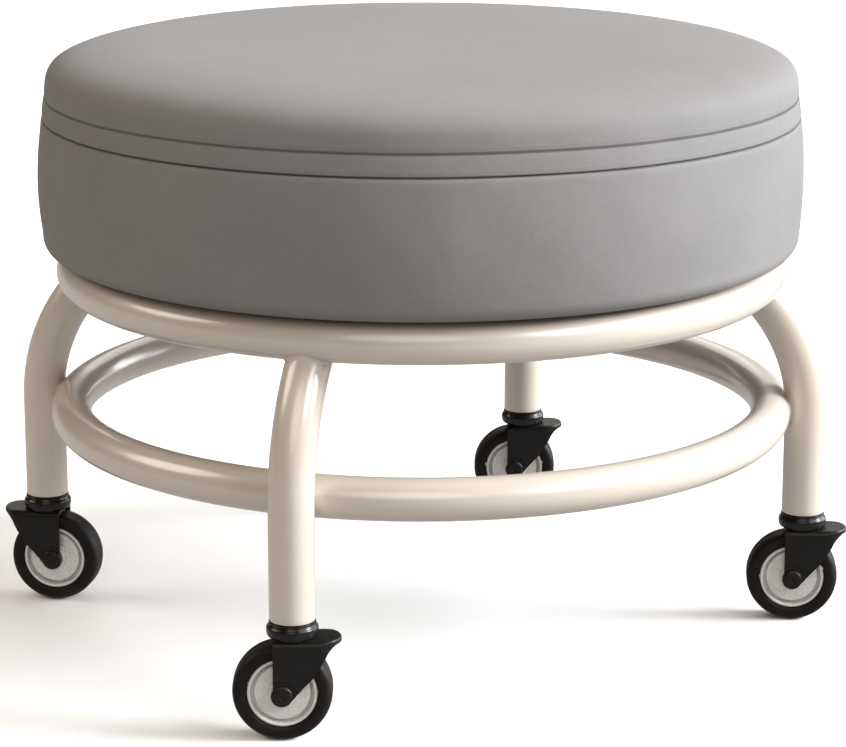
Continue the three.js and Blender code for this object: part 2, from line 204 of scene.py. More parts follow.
def seam_shade_mask(m, where):
    """Where shade is painted into the cover: one in the folds of the two sewn seams, and nought elsewhere.
    """
    height = m.add("SeparateXYZ", vector=where).outputs[2]
    drift = m.spread(m.noise(40, 2), -0.08 * MM, 0.08 * MM)
    height = m.maths("ADD", height, drift)
    masks = []
    for _, seam_z in (LOWER_SEAM, UPPER_SEAM):
        off = m.maths("ABSOLUTE", m.maths("SUBTRACT", height, seam_z * MM))
        fall = m.add("MapRange", {"interpolation_type": "SMOOTHSTEP"}, value=off, from_min=0.75 * MM,
                     from_max=0.25 * MM)
        masks.append(fall.outputs[0])
    return m.maths("MAXIMUM", masks[0], masks[1])


def leather_material():
    """Grey coated upholstery cloth with a fine pebble grain, and painted shade in the folds of its seams."""
    m = Nodes("leather_cloth")
    where = m.coords()
    cells = m.add("TexVoronoi", {"feature": "SMOOTH_F1"}, vector=where, scale=950.0)
    m.put(cells, "smoothness", 0.35)
    grain = cells.outputs["Distance"]
    crease = m.noise(260, 4, 0.62)
    cloud = m.noise(7, 4, 0.6)
    mixed = m.maths("ADD", m.maths("MULTIPLY", cloud, 0.75), m.maths("MULTIPLY", crease, 0.25))
    colour = m.ramp(mixed, [(0.3, LEATHER_DARK), (0.7, LEATHER_LIGHT)])
    # Painted shade: the colour is darkened in the folds of the seams.
    colour = m.darkened(colour, seam_shade_mask(m, where), SEAM_PAINTED_SHADE)
    rough = m.maths("ADD", m.spread(cloud, 0.66, 0.74), m.spread(grain, -0.03, 0.06))
    first = m.bump(grain, 0.16, 0.00018)
    m.shader(
        base_color=colour,
        roughness=rough,
        normal=m.bump(crease, 0.12, 0.00035, first),
        specular_ior_level=0.1,
        sheen_weight=0.03,
        sheen_roughness=0.4,
    )
    return m.material


def black_steel_material():
    """Black electro-coat on pressed steel, a little dusty and rubbed."""
    m = Nodes("black_steel")
    dust = m.noise(120, 4, 0.6)
    colour = m.ramp(dust, [(0.35, STEEL_DARK), (0.75, STEEL_LIGHT)])
    m.shader(
        base_color=colour,
        roughness=m.spread(m.noise(260, 3), 0.30, 0.46),
        normal=m.bump(m.noise(900, 2), 0.12, 0.0001),
        specular_ior_level=0.25,
    )
    return m.material


def gloss_black_material():
    """The glossy black of the race caps and the sockets' flanges."""
    m = Nodes("gloss_black")
    colour = m.ramp(m.noise(200, 2), [(0.3, grey(0.006)), (0.8, grey(0.011))])
    m.shader(
        base_color=colour,
        roughness=m.spread(m.noise(300, 3), 0.20, 0.28),
        normal=m.bump(m.noise(700, 1), 0.03, 0.0001),
        specular_ior_level=0.3,
    )
    return m.material


def tyre_material():
    """Black moulded tyre, with a soft bloom and fine scuffs."""
    m = Nodes("tyre")
    bloom = m.noise(90, 4, 0.6)
    colour = m.ramp(bloom, [(0.3, TYRE_DARK), (0.75, TYRE_LIGHT)])
    m.shader(
        base_color=colour,
        roughness=m.spread(m.noise(240, 4), 0.42, 0.62),
        normal=m.bump(m.noise(1300, 3), 0.18, 0.0001),
        specular_ior_level=0.16,
    )
    return m.material


def hub_material():
    """Light zinc-grey wheel centre with a crystalline spangle."""
    m = Nodes("hub_metal")
    spangle = m.add("TexVoronoi", vector=m.coords(), scale=900.0)
    value = spangle.outputs["Distance"]
    colour = m.ramp(m.noise(700, 4, 0.7), [(0.3, HUB_DARK), (0.7, HUB_LIGHT)])
    m.shader(
        base_color=colour,
        metallic=0.35,
        roughness=m.spread(value, 0.34, 0.55),
        normal=m.bump(value, 0.12, 0.00008),
    )
    return m.material


def zinc_material():
    """Bright zinc plate on the stems, screws and staples."""
    m = Nodes("zinc_steel")
    colour = m.ramp(m.noise(300, 3), [(0.3, grey(0.52)), (0.7, (0.66, 0.66, 0.68))])
    m.shader(
        base_color=colour,
        metallic=1.0,
        roughness=m.spread(m.noise(500, 3), 0.24, 0.42),
        normal=m.bump(m.noise(1500, 2), 0.08, 0.00005),
    )
    return m.material


def plywood_material():
    """Birch ply: face grain along X, plies on the edge."""
    m = Nodes("plywood")
    where = m.coords()
    stretch = m.add("Mapping", vector=where, scale=(6, 60, 60)).outputs[0]
    figure = m.noise(3, 6, 0.6, vector=stretch, distortion=0.4)
    face = m.ramp(figure, [(0.3, PLY_DARK), (0.7, PLY_LIGHT)])
    height = m.add("SeparateXYZ", vector=where).outputs[2]
    plies = m.maths("SINE", m.maths("MULTIPLY", height, TAU / PLY_PITCH))
    shade = m.spread(plies, 0.75, 1.05)
    colour = m.add("Mix", {"data_type": "RGBA", "blend_type": "MULTIPLY"}, i0=0.5, i6=face, i7=shade)
    m.shader(base_color=colour.outputs[2], roughness=0.72, normal=m.bump(figure, 0.2, 0.0002))
    return m.material


def dust_cloth_material():
    """Black spunbond cloth with its grid of tiny weld points."""
    m = Nodes("spunbond_cloth")
    where = m.coords()
    points = m.add("TexVoronoi", vector=where, scale=520.0)
    m.put(points, "randomness", 0.15)
    dots = m.ramp(points.outputs["Distance"], [(0.15, grey(0.0)), (0.35, grey(1.0))])
    fibres = m.noise(1500, 5, 0.7)
    colour = m.ramp(fibres, [(0.3, grey(0.010)), (0.75, grey(0.035))])
    first = m.bump(dots, 0.35, 0.00015)
    m.shader(base_color=colour, roughness=0.85, normal=m.bump(fibres, 0.4, 0.0002, first))
    return m.material


def floor_material():
    """A plain pale studio floor."""
    m = Nodes("studio_floor")
    colour = m.ramp(m.noise(3, 3), [(0.3, grey(0.93)), (0.7, grey(0.95))])
    m.shader(base_color=colour, roughness=0.8, specular_ior_level=0.0)
    return m.material


PAINT = paint_material()
LEATHER = leather_material()
BLACK_STEEL = black_steel_material()
GLOSS_BLACK = gloss_black_material()
TYRE = tyre_material()
HUB = hub_material()
ZINC = zinc_material()
PLYWOOD = plywood_material()
DUST_CLOTH = dust_cloth_material()
FLOOR = floor_material()


# ------------------------------------------------------------------ meshes
def new_mesh(name, verts, faces):
    """A mesh in metres from points in millimetres, merged where they meet, faces outwards."""
    mesh = bpy.data.meshes.new(name)
    mesh.from_pydata([tuple(v) for v in np.asarray(verts, float) * MM], [], faces)
    bm = bmesh.new()
    bm.from_mesh(mesh)
    bmesh.ops.remove_doubles(bm, verts=bm.verts, dist=2e-6)
    bmesh.ops.dissolve_degenerate(bm, edges=bm.edges, dist=1e-7)
    bmesh.ops.recalc_face_normals(bm, faces=bm.faces)
    bm.to_mesh(mesh)
    bm.free()
    mesh.update()
    return mesh


def shade(mesh, angle=38):
    """Smooth faces, with the edges that turn by more than angle left sharp."""
    mesh.polygons.foreach_set("use_smooth", [True] * len(mesh.polygons))
    mesh.set_sharp_from_angle(angle=math.radians(angle))


def piece(name, mesh, material, body, replaces=(), place=None, angle=38):
    """Puts a mesh in the scene as a piece that rides on a body."""
    mesh = mesh.copy()
    mesh.name = name
    if place is not None:
        mesh.transform(place)
    shade(mesh, angle)
    mesh.materials.clear()
    mesh.materials.append(material)
    obj = bpy.data.objects.new(name, mesh)
    bpy.context.scene.collection.objects.link(obj)
    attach(obj, body)
    if replaces:
        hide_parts(*replaces)
    return obj


def grid(points, wrap_rows=False, wrap_cols=True):
    """Vertices and quads of a grid of points; either way it can close on itself."""
    rows, cols = points.shape[:2]
    faces = []
    for i in range(rows if wrap_rows else rows - 1):
        for j in range(cols if wrap_cols else cols - 1):
            i1, j1 = (i + 1) % rows, (j + 1) % cols
            faces.append((i * cols + j, i * cols + j1, i1 * cols + j1, i1 * cols + j))
    return points.reshape(-1, 3), faces


def rounded(corners, steps):
    """A closed outline of [x, y, cut] corners, each cut back by its third number and rounded."""
    out = []
    for i, (x, y, cut) in enumerate(corners):
        p = np.array((x, y), float)
        if not cut:
            out.append(p)
            continue
        a = np.array(corners[i - 1][:2], float) - p
        b = np.array(corners[(i + 1) % len(corners)][:2], float) - p
        start = p + a / np.linalg.norm(a) * min(cut, np.linalg.norm(a) * 0.49)
        end = p + b / np.linalg.norm(b) * min(cut, np.linalg.norm(b) * 0.49)
        for k in range(steps + 1):
            t = k / steps
            out.append((1 - t) ** 2 * start + 2 * t * (1 - t) * p + t * t * end)
    return out


def lathe(name, outline, segments, closed=True):
    """Turns [r, z] points about Z. An outline that isn't closed starts and ends on the axis."""
    turns = np.arange(segments) * TAU / segments
    profile = np.asarray(outline, float)
    points = np.empty((len(profile), segments, 3))
    points[..., 0] = profile[:, :1] * np.cos(turns)
    points[..., 1] = profile[:, :1] * np.sin(turns)
    points[..., 2] = profile[:, 1:]
    return new_mesh(name, *grid(points, wrap_rows=closed))


def prism(name, outline, low, high):
    """An outline in XY, closed from low to high."""
    n = len(outline)
    verts = [(x, y, low) for x, y in outline] + [(x, y, high) for x, y in outline]
    faces = [(i, (i + 1) % n, n + (i + 1) % n, n + i) for i in range(n)]
    faces += [tuple(range(n))[::-1], tuple(range(n, 2 * n))]
    return new_mesh(name, verts, faces)


def combine(operation, base, *others):
    """base joined with or cut by each other mesh, by an exact boolean."""
    scene = bpy.context.scene.collection
    keep = bpy.data.objects.new("base", base)
    scene.objects.link(keep)
    tools = []
    for other in others:
        tool = bpy.data.objects.new("tool", other)
        scene.objects.link(tool)
        modifier = keep.modifiers.new("cut", "BOOLEAN")
        modifier.operation, modifier.solver, modifier.object = operation, "EXACT", tool
        tools.append(tool)
    bpy.context.view_layer.update()
    made = bpy.data.meshes.new_from_object(keep.evaluated_get(bpy.context.evaluated_depsgraph_get()))
    for obj in [keep, *tools]:
        bpy.data.objects.remove(obj)
    return made


def bevelled(mesh, width, segments=2, angle=32):
    """The mesh with its sharp edges rounded; width in millimetres."""
    obj = bpy.data.objects.new("bevel", mesh)
    bpy.context.scene.collection.objects.link(obj)
    modifier = obj.modifiers.new("bevel", "BEVEL")
    modifier.width, modifier.segments = width * MM, segments
    modifier.limit_method, modifier.angle_limit = "ANGLE", math.radians(angle)
    modifier.use_clamp_overlap = True
    bpy.context.view_layer.update()
    made = bpy.data.meshes.new_from_object(obj.evaluated_get(bpy.context.evaluated_depsgraph_get()))
    bpy.data.objects.remove(obj)
    return made


def across():
    """Turns a mesh made about Z so that its axis runs along Y."""
    return Matrix.Rotation(math.pi / 2, 4, "X")


# ------------------------------------------------------------------ frame
def ring_distance(ring):
    """A function of points: their distance outside a ring's tube."""
    radius, height = ring
    return lambda p: np.hypot(np.hypot(p[..., 0], p[..., 1]) - radius, p[..., 2] - height) - RING_R


def leg_distance(p):
    """Distance outside the leg's tube, in the leg's own plane, where it stands on +X."""
    x, y, z = p[..., 0], p[..., 1], p[..., 2]
    straight = np.hypot(x - LEG_CIRCLE, y)
    bent = np.hypot(np.hypot(x - (LEG_CIRCLE - BEND_R), z - BEND_Z) - BEND_R, y)
    return np.where(z < BEND_Z, straight, bent) - LEG_R


def slope(distance, p, step=0.01):
    """The unit direction in which a distance grows."""
    parts = [distance(p + step * e) - distance(p - step * e) for e in np.eye(3)]
    out = np.stack(parts, -1)
    return out / np.linalg.norm(out, axis=-1, keepdims=True)


def settle(distance, p, steps=3):
    """Points moved onto a surface."""
    for _ in range(steps):
        p = p - distance(p)[..., None] * slope(distance, p)
    return p


def leg_point(s, phi, radius=LEG_R):
    """A point on the leg's tube, s along its axis from the bottom and phi round it."""
    s, phi = np.broadcast_arrays(np.asarray(s, float), np.asarray(phi, float))
    rise = BEND_Z - LEG_BOTTOM
    a = np.maximum(s - rise, 0) / BEND_R
    cx = LEG_CIRCLE - BEND_R * (1 - np.cos(a))
    cz = np.where(s < rise, LEG_BOTTOM + s, BEND_Z + BEND_R * np.sin(a))
    out = radius * np.cos(phi)
    return np.stack([cx + out * np.cos(a), radius * np.sin(phi), cz + out * np.sin(a)], -1)


LEG_SIDES = 56
LEG_END = 1.2  # the rounding of the leg's closed end
LEG_LENGTH = BEND_Z - LEG_BOTTOM + BEND_R * math.radians(BEND_END)


def leg_mesh():
    """The bent tube: open at the bottom, closed and rounded where it ends under the upper ring."""
    phi = np.arange(LEG_SIDES) * TAU / LEG_SIDES
    rows = [leg_point(s, phi, r) for s, r in ((24, 0.01), (24, LEG_R - WALL), (0, LEG_R - WALL))]
    rows += [leg_point(s, phi, LEG_R - cut) for s, cut in ((0, 0.35), (0.12, 0.1))]
    rows += [leg_point(s, phi) for s in np.linspace(0.4, LEG_LENGTH - LEG_END, 64)]
    for a in (25, 50, 75, 90):
        cut = LEG_END * (1 - math.cos(math.radians(a)))
        s = LEG_LENGTH - LEG_END + LEG_END * math.sin(math.radians(a))
        rows.append(leg_point(s, phi, LEG_R - cut))
    rows.append(leg_point(LEG_LENGTH, phi, 0.01))
    return new_mesh("leg", *grid(np.array(rows)))


UPPER_REACH, LOWER_REACH = 1.5, 1.4  # how far a weld spreads from its seam
WELD_DISH, WELD_SWELL = 0.30, 0.25  # the weld's hollow, and how far it stands out of the corner
WELD_ROOT, WELD_BITE = 0.9, 0.15  # how deep its back and its two edges sink into the tubes
WELD_RIPPLE = 0.06  # the height of its ripples


def fillet_mesh(name, curve, first, second, reach, closed=True):
    """A weld along a curve between two surfaces, dished like a fillet. An open one tapers away."""
    if closed:
        tangent = np.roll(curve, -1, 0) - np.roll(curve, 1, 0)
        size = np.ones((len(curve), 1))
    else:
        tangent = np.gradient(curve, axis=0)
        size = np.sqrt(np.sin(np.linspace(0.002, math.pi - 0.002, len(curve))))[:, None]
    tangent /= np.linalg.norm(tangent, axis=1, keepdims=True)
    n1, n2 = slope(first, curve), slope(second, curve)

    def edge(normal, away, surface):
        side = np.cross(normal, tangent)
        side *= np.sign((side * away).sum(1, keepdims=True))
        return settle(surface, curve + reach * size * side)

    a, b = edge(n1, n2, first), edge(n2, n1, second)
    middle = curve + WELD_DISH * ((a + b) / 2 - curve) + WELD_SWELL * size * (n1 + n2)
    inside = curve - WELD_ROOT * size * (n1 + n2)
    a, b = a - WELD_BITE * slope(first, a), b - WELD_BITE * slope(second, b)
    rows = [inside]
    for t in np.linspace(0, 1, 7):
        rows.append((1 - t) ** 2 * a + 2 * t * (1 - t) * middle + t * t * b)
    points = np.array(rows)
    ripple = WELD_RIPPLE * np.sin(np.arange(len(curve)) * TAU / 4)
    points[2:-2] += (ripple[:, None] * size * (n1 + n2))[None]
    if not closed:
        points[:, 0], points[:, -1] = inside[0], inside[-1]
    return new_mesh(name, *grid(points, wrap_rows=True, wrap_cols=closed))


def even(curve, count, passes):
    """A closed curve resampled at even steps, then smoothed."""
    loop = np.vstack([curve, curve[:1]])
    along = np.r_[0, np.cumsum(np.linalg.norm(np.diff(loop, axis=0), axis=1))]
    at = np.linspace(0, along[-1], count, endpoint=False)
    out = np.stack([np.interp(at, along, loop[:, k]) for k in range(3)], 1)
    for _ in range(passes):
        out = (np.roll(out, 1, 0) + 2 * out + np.roll(out, -1, 0)) / 4
    return out


def spaced(curve, count):
    """An open curve resampled at even steps."""
    along = np.r_[0, np.cumsum(np.linalg.norm(np.diff(curve, axis=0), axis=1))]
    at = np.linspace(0, along[-1], count)
    return np.stack([np.interp(at, along, curve[:, k]) for k in range(3)], 1)


def upper_weld():
    """Where the leg runs into the underside of the upper ring, round the side that faces out."""
    phi = np.linspace(-1, 1, 241) * math.radians(118)
    s = np.linspace(LEG_LENGTH - 45, LEG_LENGTH - 0.8, 700)
    ring = ring_distance(UPPER_RING)
    gap = ring(leg_point(s[:, None], phi[None, :]))
    curve = []
    for j in range(len(phi)):
        inside = np.nonzero(gap[:, j] < 0)[0]
        if len(inside):
            curve.append(leg_point(s[inside[0]], phi[j]))
    curve = spaced(np.array(curve), 70)
    return fillet_mesh("weld", curve, leg_distance, ring, UPPER_REACH, closed=False)


def lower_weld():
    """Round the shallow notch where the leg lies against the lower ring."""
    radius, height = LOWER_RING
    theta = np.linspace(-1, 1, 4001) * 0.9
    x, y = LEG_CIRCLE - LEG_R * np.cos(theta), LEG_R * np.sin(theta)
    off = np.hypot(x, y) - radius
    inside = off < RING_R
    rise = np.sqrt(np.maximum(RING_R**2 - off[inside] ** 2, 0))
    top = np.stack([x[inside], y[inside], height + rise], 1)
    bottom = np.stack([x[inside], y[inside], height - rise], 1)[::-1]
    curve = even(np.vstack([top, bottom]), 96, 3)
    return fillet_mesh("weld", curve, leg_distance, ring_distance(LOWER_RING), LOWER_REACH)


def ring_mesh(ring):
    """A ring of round tube from its (radius, height)."""
    outline = [
        (ring[0] + RING_R * math.cos(a), ring[1] + RING_R * math.sin(a))
        for a in np.arange(40) * TAU / 40
    ]
    return lathe("ring", outline, 240)


def make_frame():
    """The two rings, the four legs and the welds between them."""
    piece("upper_ring_tube", ring_mesh(UPPER_RING), PAINT, "frame", ["upper_ring"], angle=180)
    piece("lower_ring_tube", ring_mesh(LOWER_RING), PAINT, "frame", ["lower_ring"], angle=180)
    leg, upper, lower = leg_mesh(), upper_weld(), lower_weld()
    for corner, (bearing, _) in CORNERS.items():
        turn = Matrix.Rotation(math.radians(bearing), 4, "Z")
        piece("leg_tube_" + corner, leg, PAINT, "frame", ["leg_" + corner], turn)
        piece("weld_upper_" + corner, upper, PAINT, "frame", (), turn, 60)
        piece("weld_lower_" + corner, lower, PAINT, "frame", (), turn, 60)


# ------------------------------------------------------------------ seat
SIDE_LEAN = 1.6  # how the side draws in towards the upper seam, as a power
CROWN_LEAN, CROWN_LEAN_REACH = 0.148, 7.0  # the same slope, fading out over the crown's first stretch
HELD_R = 60  # inside this radius the cover is held still
SIDE_R = 150  # outside this one are the side and its seams
SLACK_WAVE, SLACK_RIPPLE = 0.9, 0.35  # the cover's broad and fine unevenness
RELAX_FRAMES = 20


def side_radius(z):
    """The cushion's outer radius between its bottom corner and the upper seam."""
    low, high = SEAT_CORNER[1], UPPER_SEAM[1]
    if z < SEAT_WIDEST_Z:
        t = (SEAT_WIDEST_Z - z) / (SEAT_WIDEST_Z - low)
        return SEAT_WIDEST - (SEAT_WIDEST - SEAT_CORNER[0] - SEAT_CORNER[2]) * t**2
    t = (z - SEAT_WIDEST_Z) / (high - SEAT_WIDEST_Z)
    return SEAT_WIDEST - (SEAT_WIDEST - UPPER_SEAM[0]) * t**SIDE_LEAN


def seat_outline():
    """The cushion's [r, z] outline from the middle of its bottom to the middle of its crown."""
    line = [(0, HEM_Z + 0.6), (60, HEM_Z + 0.6), (HEM_INNER - 6, HEM_Z + 0.6), (HEM_INNER, HEM_Z + 0.6)]
    line += [(HEM_INNER + 0.3, HEM_Z), (HEM_OUTER - 3, HEM_Z), (HEM_OUTER, HEM_Z + 0.1)]
    cx, cz, cr = SEAT_CORNER
    for a in np.linspace(0, 90, 12):
        a = math.radians(a)
        line.append((cx + cr * math.sin(a), cz - cr * math.cos(a)))
    for z in np.linspace(cz, UPPER_SEAM[1], 34)[1:]:
        line.append((side_radius(z), z))
    for b in np.linspace(0, 90, 46)[1:]:
        c, s = math.cos(math.radians(b)), math.sin(math.radians(b))
        power = 2 / CROWN_POWER
        rise = (CROWN_TOP - UPPER_SEAM[1]) * s**power
        lean = CROWN_LEAN * rise * math.exp(-rise / CROWN_LEAN_REACH)
        line.append((UPPER_SEAM[0] * max(c, 0) ** power - lean * c, UPPER_SEAM[1] + rise))
    line[-1] = (0, CROWN_TOP)
    return np.array(line)


def arc_length(line):
    """How far along the line each of its points is."""
    return np.r_[0, np.cumsum(np.hypot(*np.diff(line, axis=0).T))]


def resample(line, spacing):
    """Points along the line, spacing(point) apart."""
    along = arc_length(line)
    at = [0.0]
    while at[-1] < along[-1]:
        here = [np.interp(at[-1], along, line[:, k]) for k in (0, 1)]
        at.append(at[-1] + spacing(here))
    at = np.array(at[:-1]) * along[-1] / at[-2] if at[-2] > 0 else np.array(at)
    return np.stack([np.interp(at, along, line[:, k]) for k in (0, 1)], 1), at


def simulate_cover(line, columns):
    """Lets the cover relax as cloth over its stuffing, held at its seams, hem and middle.

    It returns how far each point ended from the turned shape, along the outline's normal.
    """
    turns = np.arange(columns) * TAU / columns
    points = np.empty((len(line), columns, 3))
    for j, a in enumerate(turns):
        points[:, j] = np.stack([line[:, 0] * math.cos(a), line[:, 0] * math.sin(a), line[:, 1]], 1)
    start = points.copy()
    # Slack cut into the cover: a slightly uneven length that the stuffing has to take up.
    for j, a in enumerate(turns):
        for i, (r, z) in enumerate(line):
            if r > HELD_R and z > HEM_Z + 8:
                wave = noise.noise(Vector((math.cos(a) * 2.6, math.sin(a) * 2.6, z * 0.02)))
                ripple = noise.noise(Vector((math.cos(a) * 9, math.sin(a) * 9, z * 0.05 + 7)))
                points[i, j, :2] *= 1 + (SLACK_WAVE * wave + SLACK_RIPPLE * ripple) / max(r, 80)
    mesh = bpy.data.meshes.new("cover_cloth")
    verts, faces = grid(points)
    mesh.from_pydata([tuple(v) for v in verts * MM], [], faces)
    obj = bpy.data.objects.new("cover_cloth", mesh)
    bpy.context.scene.collection.objects.link(obj)
    held = obj.vertex_groups.new(name="held")
    for i, (r, z) in enumerate(line):
        at_seam = min(abs(z - LOWER_SEAM[1]), abs(z - UPPER_SEAM[1])) < 1.6 and r > 160
        if z < SEAT_CORNER[1] or r < HELD_R or at_seam:
            held.add(list(range(i * columns, (i + 1) * columns)), 1.0, "REPLACE")
    cloth = obj.modifiers.new("cloth", "CLOTH").settings
    cloth.quality, cloth.mass = 6, 0.3
    cloth.tension_stiffness = cloth.compression_stiffness = 15
    cloth.shear_stiffness, cloth.bending_stiffness = 5, 0.6
    cloth.use_pressure, cloth.uniform_pressure_force = True, 1.2
    cloth.vertex_group_mass = "held"
    cloth.effector_weights.gravity = 0
    scene = bpy.context.scene
    for step in range(1, RELAX_FRAMES + 1):
        scene.frame_set(step)
    done = obj.evaluated_get(bpy.context.evaluated_depsgraph_get()).to_mesh()
    moved = np.empty(len(done.vertices) * 3)
    done.vertices.foreach_get("co", moved)
    scene.frame_set(1)
    bpy.data.objects.remove(obj)
    moved = moved.reshape(points.shape) / MM - start
    normal = np.gradient(line, axis=0)
    normal = np.stack([normal[:, 1], -normal[:, 0]], 1)
    normal /= np.linalg.norm(normal, axis=1, keepdims=True) + 1e-9
    radial = moved[..., 0] * np.cos(turns) + moved[..., 1] * np.sin(turns)
    push = radial * normal[:, :1] + moved[..., 2] * normal[:, 1:]
    return push


SEAM_HALF, SEAM_DEPTH = 0.42, 0.9  # half the width of a seam's fold, and its depth
HOLLOW_HALF, HOLLOW_DEPTH = 1.8, 0.16  # the same for the hollow that it lies in
SEAM_STEP = 0.18  # the spacing of the cushion's points across a seam
CUSHION_COLUMNS = 420
COVER_COLUMNS = 180
COVER_CAP = 1.6  # the most that the relaxed cover may stand off its turned shape


def seam_dip(z, r):
    """How far the two sewn seams pull the cover in: a sharp fold in a faint hollow."""
    if r < SIDE_R:
        return 0.0
    dip = 0.0
    for _, seam_z in (LOWER_SEAM, UPPER_SEAM):
        d = z - seam_z
        dip += SEAM_DEPTH * math.exp(-((d / SEAM_HALF) ** 2))
        dip += HOLLOW_DEPTH * math.exp(-((d / HOLLOW_HALF) ** 2))
    return dip


def make_cushion():
    """The padded seat: the turned outline, pushed by the relaxed cloth, with its two seams."""
    line = seat_outline()
    coarse, along = resample(line, lambda p: 5.0 if p[0] > HELD_R else 12.0)
    push = simulate_cover(coarse, COVER_COLUMNS)
    push -= push.mean(1, keepdims=True)
    push = np.clip(push, -COVER_CAP, COVER_CAP)

    def spacing(p):
        r, z = p
        if r > SIDE_R and min(abs(z - LOWER_SEAM[1]), abs(z - UPPER_SEAM[1])) < 2.2:
            return SEAM_STEP
        if r > SIDE_R:
            return 1.5
        return 3.0 if r > 40 else 6.0

    fine, at = resample(line, spacing)
    columns = CUSHION_COLUMNS
    turns = np.arange(columns) * TAU / columns
    normal = np.gradient(fine, axis=0)
    normal = np.stack([normal[:, 1], -normal[:, 0]], 1)
    normal /= np.linalg.norm(normal, axis=1, keepdims=True) + 1e-9
    coarse_turns = np.arange(COVER_COLUMNS + 1) * TAU / COVER_COLUMNS
    closed = np.hstack([push, push[:, :1]])
    rows = np.array([np.interp(turns, coarse_turns, row) for row in closed])
    field = np.stack([np.interp(at, along, rows[:, j]) for j in range(columns)], 1)
    points = np.empty((len(fine), columns, 3))
    for i, (r, z) in enumerate(fine):
        dip = seam_dip(z, r)
        for j, a in enumerate(turns):
            c, s = math.cos(a), math.sin(a)
            out = field[i, j]
            if dip > 0.05:
                pucker = noise.noise(Vector((c * 26, s * 26, z * 0.22)))
                drift = noise.noise(Vector((c * 4, s * 4, z * 0.1 + 20)))
                out -= dip * (1 + 0.22 * pucker + 0.15 * drift)
            rr = r + out * normal[i, 0]
            points[i, j] = (rr * c, rr * s, z + out * normal[i, 1])
    points[0] = points[0].mean(0)
    points[-1] = points[-1].mean(0)
    mesh = new_mesh("cushion", *grid(points))
    nodes = ["cover_top_panel", "cover_welt_band", "cover_side_panel", "cover_hem", "seat_foam"]
    cushion = piece("seat_cushion", mesh, LEATHER, "frame", nodes, angle=60)


def make_dust_cloth():
    """The black cloth under the board, drawn tight, with small pleats at its stapled edge."""
    radius, low, thick = CLOTH
    columns, rows = 200, []
    turns = np.arange(columns) * TAU / columns
    radii = [0, 20, 45, 70, 95, 115, 130, 140, 147, 152, 155, radius]

    def sheet_row(r, z):
        row = np.empty((columns, 3))
        for j, a in enumerate(turns):
            c, s = math.cos(a), math.sin(a)
            pleat = noise.noise(Vector((c * 14, s * 14, 3.3))) * 0.28 * max(0, (r - 95) / 60) ** 2
            row[j] = (r * c, r * s, z + max(-0.25, min(0.25, pleat)) * (r < 146))
        return row

    for r in radii:
        rows.append(sheet_row(r, low + 0.05))
    for r in radii[::-1]:
        rows.append(sheet_row(r, low + thick))
    mesh = new_mesh("dust_cloth", *grid(np.array(rows)))
    cloth = piece("dust_cloth_sheet", mesh, DUST_CLOTH, "frame", ["dust_cloth"], angle=60)
    staples = make_staples(low)


def make_staples(z):
    """Wire staples round the edge of the dust cloth, inside the ring."""
    verts, faces = [], []
    count, half, wire = 28, 5.0, 0.45
    for k in range(count):
        a = (k + 0.5) * TAU / count
        corners = rounded(
            [(-half, 0.6, 0), (-half, -0.55, 0.5), (half, -0.55, 0.5), (half, 0.6, 0)], 3
        )
        path = [np.array((STAPLE_CIRCLE, x, z + y)) for x, y in corners]
        turn = np.array(Matrix.Rotation(a, 3, "Z"))
        skew = np.array(Matrix.Rotation(0.25 * math.sin(k * 2.4), 3, "X"))
        ring_rows = []
        for i, p in enumerate(path):
            before, after = path[max(i - 1, 0)], path[min(i + 1, len(path) - 1)]
            t = (after - before) / np.linalg.norm(after - before)
            u = np.array((1.0, 0, 0))
            w = np.cross(t, u)
            ring_rows.append(
                [p + wire * (math.cos(b) * u + math.sin(b) * w) for b in np.arange(6) * TAU / 6]
            )
        rows = np.array([np.broadcast_to(path[0], (6, 3)), *ring_rows, np.broadcast_to(path[-1], (6, 3))])
        middle = np.array((STAPLE_CIRCLE, 0, z))
        rows = ((rows - middle) @ skew.T + middle) @ turn.T
        v, f = grid(rows)
        offset = len(verts)
        verts.extend(v)
        faces.extend(tuple(q + offset for q in face) for face in f)
    mesh = new_mesh("staples", verts, faces)
    return piece("dust_cloth_staples", mesh, ZINC, "frame")


def screw_mesh():
    """A pan-head screw with a cross recess, head down."""
    top = UPPER_RING[1] + RING_R - 2.5 - GAP
    outline = rounded(
        [
            (0, top - 2.4, 0), (2.6, top - 2.3, 0.8), (4.4, top - 1.3, 0.8), (4.5, top, 0.2),
            (2.1, top, 0), (2.1, top + 11.5, 0.3), (0, top + 14, 0),
        ],
        3,
    )
    body = lathe("screw", outline, 32, closed=False)
    slots = []
    for turn in (0, math.pi / 2):
        bar = prism("slot", [(-2.2, -0.45), (2.2, -0.45), (2.2, 0.45), (-2.2, 0.45)], top - 4, top - 1.1)
        bar.transform(Matrix.Rotation(turn, 4, "Z"))
        slots.append(bar)
    return combine("DIFFERENCE", body, *slots)


def make_seat_fixings():
    """The four screws, and the tabs and the board that they hold together."""
    screw = screw_mesh()
    for i, side in enumerate(("right", "back", "left", "front")):
        place = Matrix.Rotation(i * math.pi / 2, 4, "Z") @ Matrix.Translation((TAB_CIRCLE * MM, 0, 0))
        piece("screw_" + side, screw, ZINC, "frame", ["seat_screw_" + side], place)
        dress("seat_tab_" + side, PAINT, 0.5)
    dress("seat_board", PLYWOOD, 0.8)


def dress(node, material, bevel=0.0):
    """A CAD node that is kept gets its material, smooth shading where it is round, and soft edges if a bevel
    width is given.
    """
    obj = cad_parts[node]
    obj.data.materials.clear()
    obj.data.materials.append(material)
    shade(obj.data, 35)
    if bevel:
        modifier = obj.modifiers.new("edge", "BEVEL")
        modifier.width, modifier.segments = bevel * MM, 2
        modifier.limit_method, modifier.angle_limit = "ANGLE", math.radians(40)


